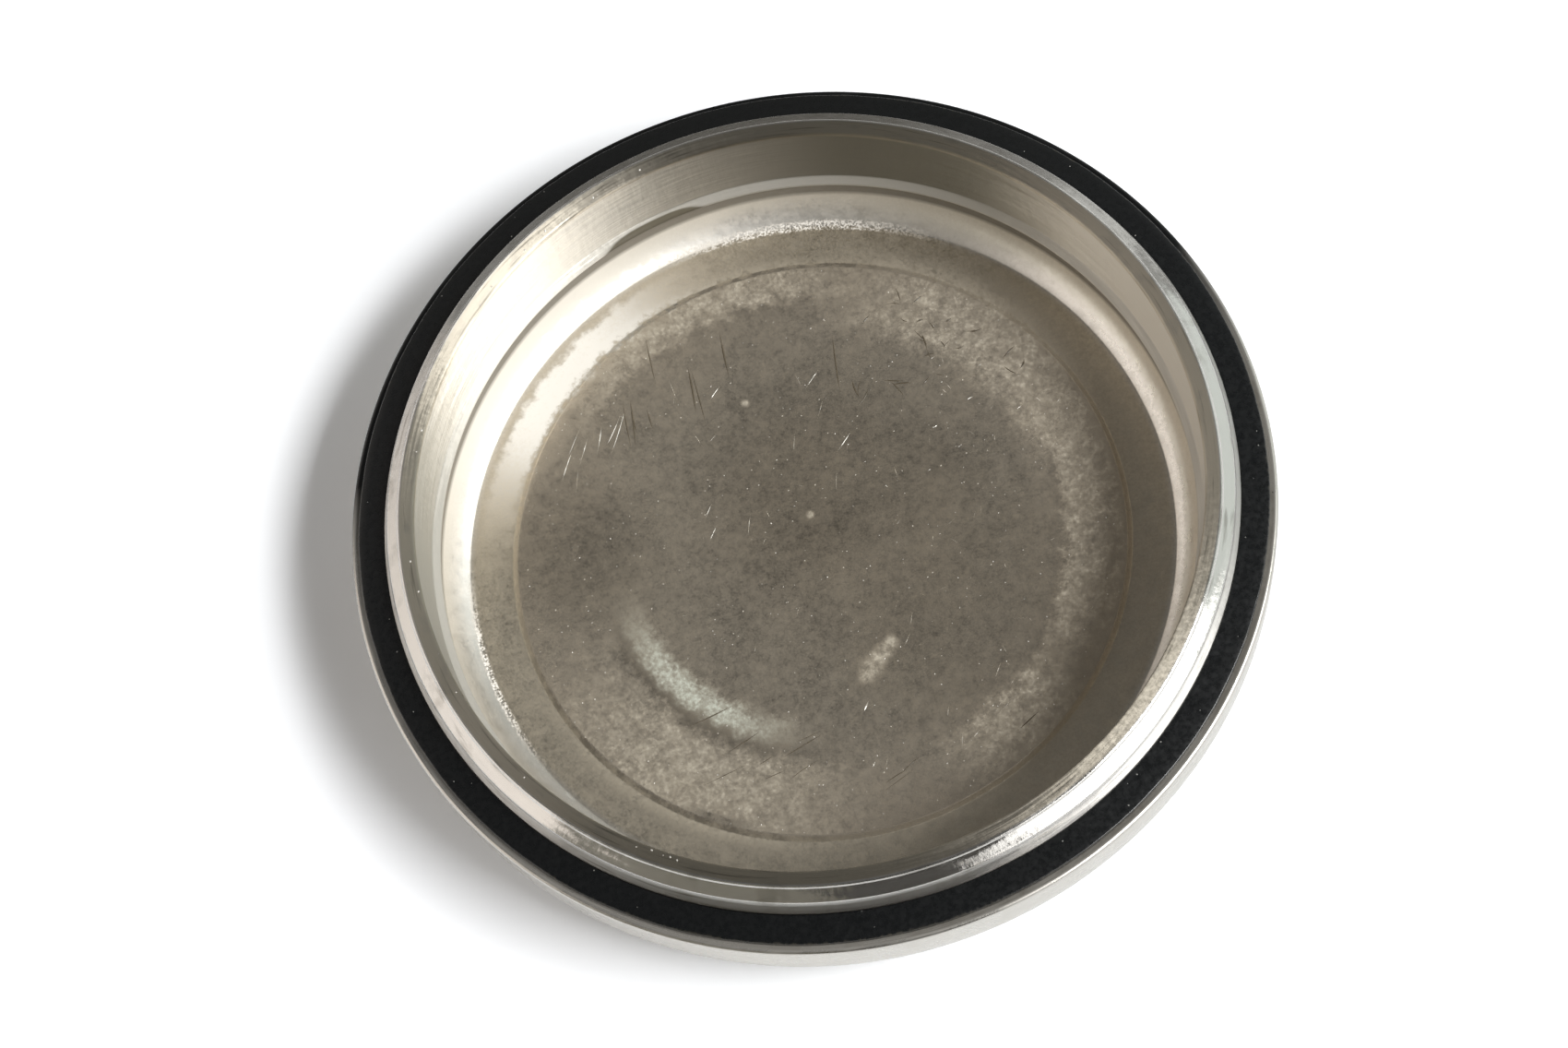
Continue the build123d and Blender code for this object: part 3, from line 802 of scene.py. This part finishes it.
def scratch(name, values):
    rnd = random.Random(values["seed"])
    verts, faces = [], []
    for centre, spread, heading, scatter, lengths, width, bend, count in values["groups"]:
        for i in range(count):
            place = (centre[0] + rnd.uniform(-1, 1) * spread[0], centre[1] + rnd.uniform(-1, 1) * spread[1])
            if math.hypot(*place) < scratchLimit:
                scratchRidge(rnd, place, heading + rnd.uniform(-1, 1) * scatter, rnd.uniform(*lengths),
                             width * rnd.uniform(0.6, 1.2), bend * rnd.uniform(-1, 1), verts, faces)
    mesh = bpy.data.meshes.new(name)
    mesh.from_pydata(verts, [], faces)
    mesh.materials.append(plainMaterial(*values["finish"]))
    work = bmesh.new()
    work.from_mesh(mesh)
    bmesh.ops.recalc_face_normals(work, faces=work.faces)
    work.to_mesh(mesh)
    work.free()
    return newObject(name, mesh)


for make, wanted in ((strew, strewn), (scratch, scratches)):
    for name, values in wanted.items():
        piece = make(name, values)
        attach(piece, "root")
        print(name, "faces:", len(piece.data.polygons))


# Table: a pale sheet that greys off towards the room, in mm

table = {"colour": "#f0f2f5", "far": "#777674", "half": 4000, "paleTo": 100, "greyFrom": 240, "behindTo": 50,
         "behindFrom": 90, "whitening": 1.35}


def makeTable():
    # paper, uncoated: matt and nearly white, and whiter still where the camera sees it than where the tin does
    material, add, spot, onRing, onSkin = newMaterial("palePaper")
    outwards = add("MapRange", {"Value": spot["Radius"], "From Min": table["paleTo"], "From Max": table["greyFrom"]},
                   **smooth)
    back = add("SeparateXYZ", {0: spot["Place"]}, output=1)
    behind = add("MapRange", {"Value": back, "From Min": table["behindTo"], "From Max": table["behindFrom"]}, **smooth)
    far = add("Math", {0: outwards, 1: behind}, operation="MAXIMUM")
    colour = add("Mix", {0: far, 6: linear(table["colour"]), 7: linear(table["far"])}, **blend)
    plain = add("BsdfDiffuse", {"Color": colour})
    whiter = [v * table["whitening"] for v in linear(table["colour"])[:3]] + [1]
    seen = add("BsdfDiffuse", {"Color": whiter})
    cameraRay = add("LightPath", output="Is Camera Ray")
    surface = add("MixShader", {0: cameraRay, 1: plain, 2: seen})
    add("OutputMaterial", {"Surface": surface})
    half = table["half"] * mm
    mesh = bpy.data.meshes.new("table")
    mesh.from_pydata([(-half, -half, 0), (half, -half, 0), (half, half, 0), (-half, half, 0)], [], [(0, 1, 2, 3)])
    mesh.materials.append(material)
    newObject("table", mesh)


makeTable()


# Light: a window in two panes, the upper one open to the sky, in degrees as the tin sees them and metres away

panes = {"upperPane": {"azimuth": -29, "elevation": 50, "wide": 30, "tall": 13, "away": 2.0, "level": 22,
                       "colour": "#ffffff"},
         "lowerPane": {"azimuth": -45.5, "elevation": 28, "wide": 48, "tall": 26, "away": 2.1, "level": 2.0,
                       "colour": "#ffffff"}}


def makePane(name, values):
    lamp = bpy.data.lights.new(name, "AREA")
    lamp.shape = "RECTANGLE"
    away = values["away"]
    lamp.size = 2 * away * math.tan(math.radians(values["wide"] / 2))
    lamp.size_y = 2 * away * math.tan(math.radians(values["tall"] / 2))
    lamp.energy = values["level"] * math.pi * lamp.size * lamp.size_y
    lamp.color = linear(values["colour"])[:3]
    azimuth, elevation = math.radians(values["azimuth"]), math.radians(values["elevation"])
    level = math.cos(elevation)
    direction = Vector((math.cos(azimuth) * level, math.sin(azimuth) * level, math.sin(elevation)))
    pane = newObject(name, lamp)
    pane.location = direction * away
    pane.rotation_euler = direction.to_track_quat("Z", "Y").to_euler()


# Room: the colour of its walls by azimuth, in degrees, and a ceiling above them

room = {"walls": [(0, "#d9e0dd"), (33, "#dbe2e0"), (37, "#80817f"), (40, "#80817f"), (45, "#e3e6e5"), (50, "#d8dbda"),
                  (57, "#787875"), (61, "#787875"), (65, "#a3a3a0"), (70, "#777773"), (118, "#7b7975"),
                  (126, "#dcd4ce"), (150, "#efe7e0"), (178, "#fff8f2"), (198, "#fbf3ec"), (206, "#7f7c73"),
                  (246, "#77746b"), (253, "#44423f"), (288, "#44423f"), (300, "#9a9c9e"), (360, "#d9e0dd")],
        "ceiling": "#595959", "ceilingFrom": 42, "ceilingTo": 56}


def makeRoom():
    world = bpy.data.worlds.new("room")
    bpy.context.scene.world = world
    world.use_nodes = True
    world.node_tree.nodes.clear()
    add = partial(addNode, world.node_tree)
    way = add("TexCoord", output="Generated")
    x, y, z = add("SeparateXYZ", {0: way}).node.outputs
    angle = add("Math", {0: y, 1: x}, operation="ARCTAN2")
    turn = add("Math", {0: angle, 1: 1 / math.tau, 2: 1.0}, **timesPlus)
    wrapped = add("Math", {0: turn}, operation="FRACT")
    walls = add("ValToRGB", {0: wrapped}, stops=[(a / 360, c) for a, c in room["walls"]])
    rise = add("Math", {0: z}, operation="ARCSINE")
    height = add("Math", {0: rise}, operation="DEGREES")
    up = add("MapRange", {"Value": height, "From Min": room["ceilingFrom"], "From Max": room["ceilingTo"]}, **smooth)
    colour = add("Mix", {0: up, 6: walls, 7: linear(room["ceiling"])}, **blend)
    light = add("Background", {"Color": colour})
    add("OutputWorld", {"Surface": light})


for name, values in panes.items():
    makePane(name, values)
makeRoom()
print("light and room ready")


# Camera, in mm and degrees: it looks at the mouth, rolled, with the tin a little off centre

view = {"target": (0, 0, 10.2), "elevation": 67.208, "roll": 16.475, "away": 266.25, "slide": (-1.875, -1.875),
        "lens": 79.1}


def makeCamera():
    elevation, roll = math.radians(view["elevation"]), math.radians(view["roll"])
    back = Vector((0, -math.cos(elevation), math.sin(elevation)))
    right, up = Vector((1, 0, 0)), Vector((0, math.sin(elevation), math.cos(elevation)))
    cameraRight = math.cos(roll) * right - math.sin(roll) * up
    cameraUp = math.sin(roll) * right + math.cos(roll) * up
    place = Vector(view["target"]) + view["away"] * back + view["slide"][0] * cameraRight + view["slide"][1] * cameraUp
    data = bpy.data.cameras.new("camera")
    data.sensor_fit = "HORIZONTAL"
    data.sensor_width = 36
    data.lens = view["lens"]
    data.clip_start, data.clip_end = 0.01, 20
    camera = newObject("camera", data)
    turned = Matrix((cameraRight, cameraUp, back)).transposed().to_4x4()
    camera.matrix_world = Matrix.Translation(place * mm) @ turned
    bpy.context.scene.camera = camera


makeCamera()
bpy.context.scene.view_settings.view_transform = "Standard"
